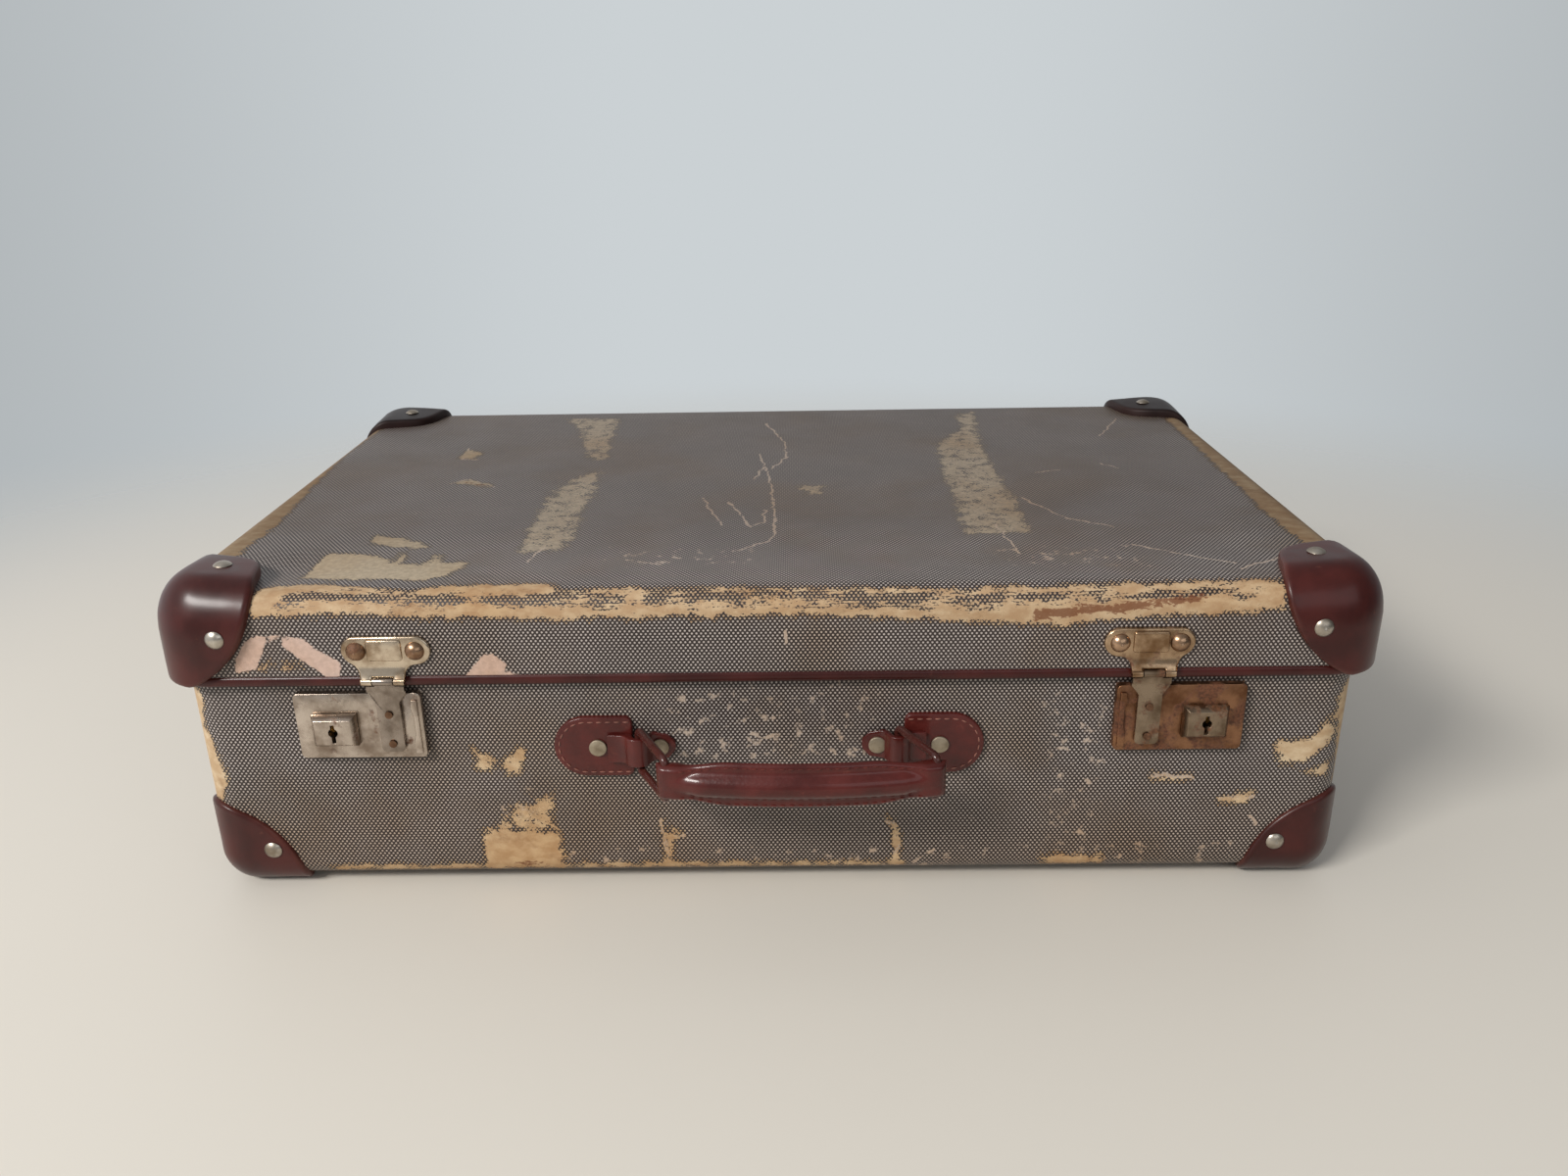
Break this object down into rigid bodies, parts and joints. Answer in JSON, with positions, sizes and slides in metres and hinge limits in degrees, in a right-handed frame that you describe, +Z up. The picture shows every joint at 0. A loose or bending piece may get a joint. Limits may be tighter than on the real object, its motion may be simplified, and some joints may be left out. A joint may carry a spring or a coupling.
{
  "type": "suitcase",
  "caption": "Low travel case of pressed board covered in dotted paper, with a hinged telescoping lid, riveted fibre corner caps, hasp locks and a swaying leather handle.",
  "frame": {"origin": "on the surface the case lies on, under the middle of its outline, handle included", "axes": "+X to the right seen from the handle side, +Y from the handle side to the hinge side, +Z up"},
  "size_m": [0.6036, 0.4258, 0.174],
  "materials": {
    "pressed_board": "raw, fibrous",
    "covering_paper": "printed with small pale dots, worn",
    "lining_paper": "plain, matt",
    "batten_wood": "raw",
    "fibre": "lacquered, worn",
    "binding": "satin, worn",
    "rivet_steel": "dull, spotted",
    "nickel": "nickel-plated, rubbed, with rust at the edges",
    "plain_steel": "plain",
    "brass": "dull",
    "ring_wire": "brown lacquer",
    "leather": "polished by use"
  },
  "bodies": {
    "base": {"base_tray": "pressed_board", "base_cover": "covering_paper", "base_lining": "lining_paper", "front_batten": "batten_wood", "base_cap_front_left": "fibre", "base_cap_front_right": "fibre", "base_cap_back_left": "fibre", "base_cap_back_right": "fibre", "base_cap_rivets": "rivet_steel", "lock_plate_left": "nickel", "lock_plate_right": "nickel", "lock_case_left": "plain_steel", "lock_case_right": "plain_steel", "lock_springs": "plain_steel", "handle_tab_left": "leather", "handle_tab_right": "leather", "handle_loop_left": "leather", "handle_loop_right": "leather", "handle_rivets": "brass", "hinge_base_leaf_left": "plain_steel", "hinge_base_leaf_right": "plain_steel", "hinge_base_rivets": "rivet_steel", "hinge_pins": "plain_steel"},
    "lid": {"lid_tray": "pressed_board", "lid_cover": "covering_paper", "lid_lining": "lining_paper", "lid_binding": "binding", "lid_cap_front_left": "fibre", "lid_cap_front_right": "fibre", "lid_cap_back_left": "fibre", "lid_cap_back_right": "fibre", "lid_cap_rivets": "rivet_steel", "hasp_bracket_left": "nickel", "hasp_bracket_right": "nickel", "hasp_rivets": "rivet_steel", "hasp_pins": "plain_steel", "hinge_lid_leaf_left": "plain_steel", "hinge_lid_leaf_right": "plain_steel", "hinge_lid_rivets": "rivet_steel"},
    "tongue_left": {"tongue_left": "nickel", "staple_left": "nickel"},
    "slide_left": {"lock_button_left": "nickel", "lock_bolt_left": "plain_steel"},
    "tumbler_left": {"lock_tumbler_left": "brass"},
    "ring_left": {"ring_left": "ring_wire"},
    "tongue_right": {"tongue_right": "nickel", "staple_right": "nickel"},
    "slide_right": {"lock_button_right": "nickel", "lock_bolt_right": "plain_steel"},
    "tumbler_right": {"lock_tumbler_right": "brass"},
    "ring_right": {"ring_right": "ring_wire"},
    "handle": {"handle_grip": "leather", "handle_roll": "leather"}
  },
  "joints": [
    {"name": "lid_hinge", "type": "hinge", "parent": "base", "child": "lid", "pos_m": [0, 0.20431, 0.1169], "axis": [-1, 0, 0], "range_deg": [0, 105]},
    {"name": "hasp_left", "type": "hinge", "parent": "lid", "child": "tongue_left", "pos_m": [-0.1855, -0.17289, 0.1235], "axis": [-1, 0, 0], "range_deg": [0, 130]},
    {"name": "slide_left", "type": "slide", "parent": "base", "child": "slide_left", "axis": [1, 0, 0], "range_m": [0, 0.005]},
    {"name": "tumbler_left", "type": "hinge", "parent": "slide_left", "child": "tumbler_left", "pos_m": [-0.2135, -0.16489, 0.0965], "axis": [0, 1, 0], "range_deg": [0, 90]},
    {"name": "hasp_right", "type": "hinge", "parent": "lid", "child": "tongue_right", "pos_m": [0.1855, -0.17289, 0.1235], "axis": [-1, 0, 0], "range_deg": [0, 130]},
    {"name": "slide_right", "type": "slide", "parent": "base", "child": "slide_right", "axis": [-1, 0, 0], "range_m": [0, 0.005]},
    {"name": "tumbler_right", "type": "hinge", "parent": "slide_right", "child": "tumbler_right", "pos_m": [0.2135, -0.16489, 0.0965], "axis": [0, 1, 0], "range_deg": [0, 90]},
    {"name": "ring_left_swing", "type": "hinge", "parent": "base", "child": "ring_left", "pos_m": [-0.064, -0.17039, 0.0835], "axis": [0, 0, -1], "range_deg": [-37, 93]},
    {"name": "ring_right_swing", "type": "hinge", "parent": "base", "child": "ring_right", "pos_m": [0.064, -0.17039, 0.0835], "axis": [0, 0, -1], "range_deg": [-37, 93]},
    {"name": "handle_swing", "type": "hinge", "parent": "ring_left", "child": "handle", "pos_m": [-0.04804, -0.20041, 0.0835], "axis": [0, 0, -1], "range_deg": [-93, 37]}
  ],
  "couplings": [
    {"joint": "ring_right_swing", "follows": "ring_left_swing", "ratio": 1},
    {"joint": "handle_swing", "follows": "ring_left_swing", "ratio": -1}
  ]
}
